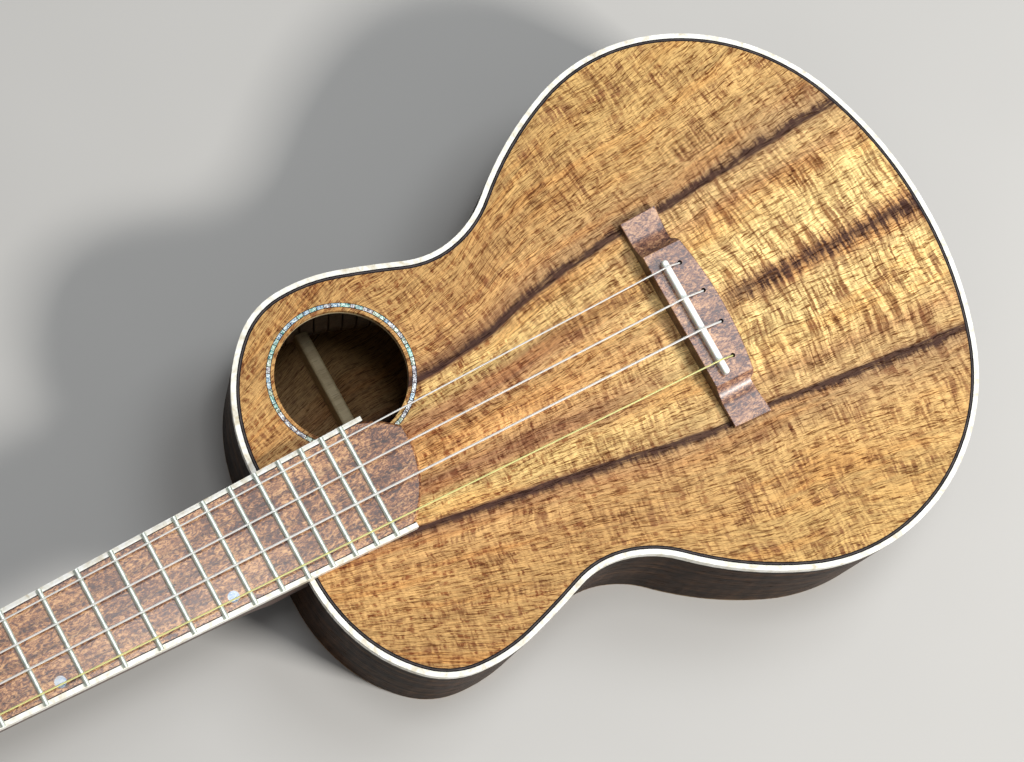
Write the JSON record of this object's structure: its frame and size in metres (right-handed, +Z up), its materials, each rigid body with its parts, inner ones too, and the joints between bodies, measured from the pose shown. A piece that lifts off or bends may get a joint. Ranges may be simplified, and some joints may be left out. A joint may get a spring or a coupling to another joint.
{
  "type": "ukulele",
  "caption": "Tenor ukulele with an offset soundhole, bound top, fixed bridge, fretted neck and geared tuning machines that turn.",
  "frame": {"origin": "on the underside of the flat back, on the centreline, at the middle of the body's length", "axes": "+X from the neck towards the tail, +Y towards the treble side, +Z up out of the soundboard; the instrument lies on its back"},
  "size_m": [0.6694, 0.244, 0.0872],
  "materials": {
    "koa_top": "satin",
    "koa_body": "gloss",
    "maple_binding": "satin",
    "black_trim": "satin",
    "grey_trim": "satin",
    "abalone": "polished shell",
    "mahogany": "satin",
    "spruce": "bare planed wood",
    "burl": "satin",
    "nickel": "polished",
    "steel": "plain",
    "pearl": "polished shell",
    "bone": "polished",
    "nylon": "translucent",
    "nylon_yellow": "translucent",
    "tuner_metal": "polished",
    "tuner_brass": "machined",
    "button": "gloss"
  },
  "bodies": {
    "body": {"soundboard_bass": "koa_top", "soundboard_treble": "koa_top", "side_bass": "koa_body", "side_treble": "koa_body", "back_bass": "koa_body", "back_treble": "koa_body", "top_binding": "maple_binding", "fretboard_binding": "maple_binding", "purfling_black": "black_trim", "rosette_lines": "black_trim", "fretboard_lines": "black_trim", "purfling_grey": "grey_trim", "rosette_shell": "abalone", "neck": "mahogany", "neck_block": "mahogany", "tail_block": "mahogany", "top_linings": "mahogany", "back_linings": "mahogany", "back_braces": "spruce", "top_braces": "spruce", "fan_braces": "spruce", "bridge_plate": "spruce", "soundhole_patch": "spruce", "fretboard": "burl", "bridge": "burl", "headplate": "burl", "heel_cap": "burl", "frets": "nickel", "tuner_bushings": "nickel", "tuner_plates": "nickel", "tuner_screws": "nickel", "neck_bolts": "steel", "position_dots": "pearl", "nut": "bone", "saddle": "bone", "string_c": "nylon", "string_e": "nylon", "string_a": "nylon", "string_g": "nylon_yellow"},
    "knob_g": {"tuner_worm_g": "tuner_metal", "tuner_button_g": "button"},
    "post_g": {"tuner_post_g": "tuner_metal", "tuner_gear_g": "tuner_brass", "string_winding_g": "nylon_yellow"},
    "knob_c": {"tuner_worm_c": "tuner_metal", "tuner_button_c": "button"},
    "post_c": {"tuner_post_c": "tuner_metal", "tuner_gear_c": "tuner_brass", "string_winding_c": "nylon"},
    "knob_e": {"tuner_worm_e": "tuner_metal", "tuner_button_e": "button"},
    "post_e": {"tuner_post_e": "tuner_metal", "tuner_gear_e": "tuner_brass", "string_winding_e": "nylon"},
    "knob_a": {"tuner_worm_a": "tuner_metal", "tuner_button_a": "button"},
    "post_a": {"tuner_post_a": "tuner_metal", "tuner_gear_a": "tuner_brass", "string_winding_a": "nylon"}
  },
  "joints": [
    {"name": "knob_g_turn", "type": "hinge", "parent": "body", "child": "knob_g", "pos_m": [-0.42241, -0.0165, 0.0355], "axis": [0, 1, 0], "continuous": true},
    {"name": "post_g_turn", "type": "hinge", "parent": "body", "child": "post_g", "pos_m": [-0.43252, -0.0165, 0.04964], "axis": [-0.2467, 0, 0.9691], "continuous": true},
    {"name": "knob_c_turn", "type": "hinge", "parent": "body", "child": "knob_c", "pos_m": [-0.46409, -0.015, 0.02489], "axis": [0, 1, 0], "continuous": true},
    {"name": "post_c_turn", "type": "hinge", "parent": "body", "child": "post_c", "pos_m": [-0.47419, -0.015, 0.03904], "axis": [-0.2467, 0, 0.9691], "continuous": true},
    {"name": "knob_e_turn", "type": "hinge", "parent": "body", "child": "knob_e", "pos_m": [-0.46409, 0.015, 0.02489], "axis": [0, 1, 0], "continuous": true},
    {"name": "post_e_turn", "type": "hinge", "parent": "body", "child": "post_e", "pos_m": [-0.47419, 0.015, 0.03904], "axis": [-0.2467, 0, 0.9691], "continuous": true},
    {"name": "knob_a_turn", "type": "hinge", "parent": "body", "child": "knob_a", "pos_m": [-0.42241, 0.0165, 0.0355], "axis": [0, 1, 0], "continuous": true},
    {"name": "post_a_turn", "type": "hinge", "parent": "body", "child": "post_a", "pos_m": [-0.43252, 0.0165, 0.04964], "axis": [-0.2467, 0, 0.9691], "continuous": true}
  ],
  "couplings": [
    {"joint": "post_g_turn", "follows": "knob_g_turn", "ratio": -0.071429},
    {"joint": "post_c_turn", "follows": "knob_c_turn", "ratio": -0.071429},
    {"joint": "post_e_turn", "follows": "knob_e_turn", "ratio": -0.071429},
    {"joint": "post_a_turn", "follows": "knob_a_turn", "ratio": -0.071429}
  ]
}
